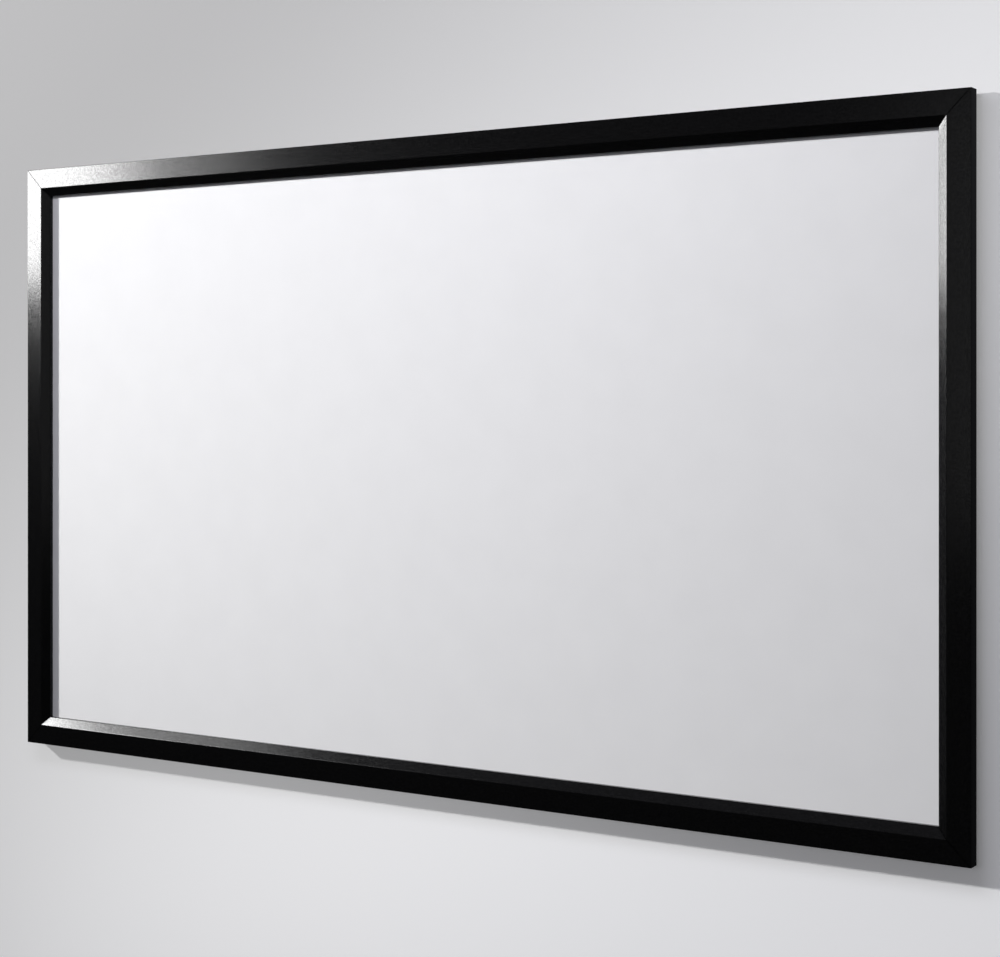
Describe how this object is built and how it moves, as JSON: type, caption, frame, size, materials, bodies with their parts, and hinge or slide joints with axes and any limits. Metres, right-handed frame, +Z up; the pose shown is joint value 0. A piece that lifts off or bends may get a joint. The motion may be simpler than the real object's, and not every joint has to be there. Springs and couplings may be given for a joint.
{
  "type": "fixed frame projector screen",
  "caption": "Wall-hung projection screen: a white cloth stretched by rods and springs on a mitred black aluminium frame with sloped inner edges.",
  "frame": {"origin": "middle of the screen's box: half its width and height, halfway from the frame's front face to the wall", "axes": "+X along the width, to the right as a viewer sees it; +Y from the front towards the wall; +Z up"},
  "size_m": [2.116, 0.035, 1.241],
  "materials": {
    "frame_coating": "black semi-gloss coating with a fine grain",
    "screen_cloth": "matt white front, charcoal back",
    "rod_fibre": "drawn glass fibre",
    "spring_steel": "bright nickel-plated wire",
    "zinced_steel": "zinc-plated sheet",
    "screw_steel": "black oxide"
  },
  "bodies": {
    "root": {"rail_top": "frame_coating", "rail_right": "frame_coating", "rail_bottom": "frame_coating", "rail_left": "frame_coating", "projection_cloth": "screen_cloth", "tension_rod_top": "rod_fibre", "tension_rod_right": "rod_fibre", "tension_rod_bottom": "rod_fibre", "tension_rod_left": "rod_fibre", "spring_top_1": "spring_steel", "spring_top_2": "spring_steel", "spring_top_3": "spring_steel", "spring_top_4": "spring_steel", "spring_top_5": "spring_steel", "spring_top_6": "spring_steel", "spring_top_7": "spring_steel", "spring_top_8": "spring_steel", "spring_right_1": "spring_steel", "spring_right_2": "spring_steel", "spring_right_3": "spring_steel", "spring_right_4": "spring_steel", "spring_right_5": "spring_steel", "spring_bottom_1": "spring_steel", "spring_bottom_2": "spring_steel", "spring_bottom_3": "spring_steel", "spring_bottom_4": "spring_steel", "spring_bottom_5": "spring_steel", "spring_bottom_6": "spring_steel", "spring_bottom_7": "spring_steel", "spring_bottom_8": "spring_steel", "spring_left_1": "spring_steel", "spring_left_2": "spring_steel", "spring_left_3": "spring_steel", "spring_left_4": "spring_steel", "spring_left_5": "spring_steel", "elbow_top_right": "zinced_steel", "elbow_bottom_right": "zinced_steel", "elbow_bottom_left": "zinced_steel", "elbow_top_left": "zinced_steel", "set_screw_top_right_1": "screw_steel", "set_screw_top_right_2": "screw_steel", "set_screw_top_right_3": "screw_steel", "set_screw_top_right_4": "screw_steel", "set_screw_bottom_right_1": "screw_steel", "set_screw_bottom_right_2": "screw_steel", "set_screw_bottom_right_3": "screw_steel", "set_screw_bottom_right_4": "screw_steel", "set_screw_bottom_left_1": "screw_steel", "set_screw_bottom_left_2": "screw_steel", "set_screw_bottom_left_3": "screw_steel", "set_screw_bottom_left_4": "screw_steel", "set_screw_top_left_1": "screw_steel", "set_screw_top_left_2": "screw_steel", "set_screw_top_left_3": "screw_steel", "set_screw_top_left_4": "screw_steel", "wall_bracket_top_left": "zinced_steel", "wall_bracket_top_right": "zinced_steel", "wall_bracket_bottom_left": "zinced_steel", "wall_bracket_bottom_right": "zinced_steel"}
  },
  "joints": []
}
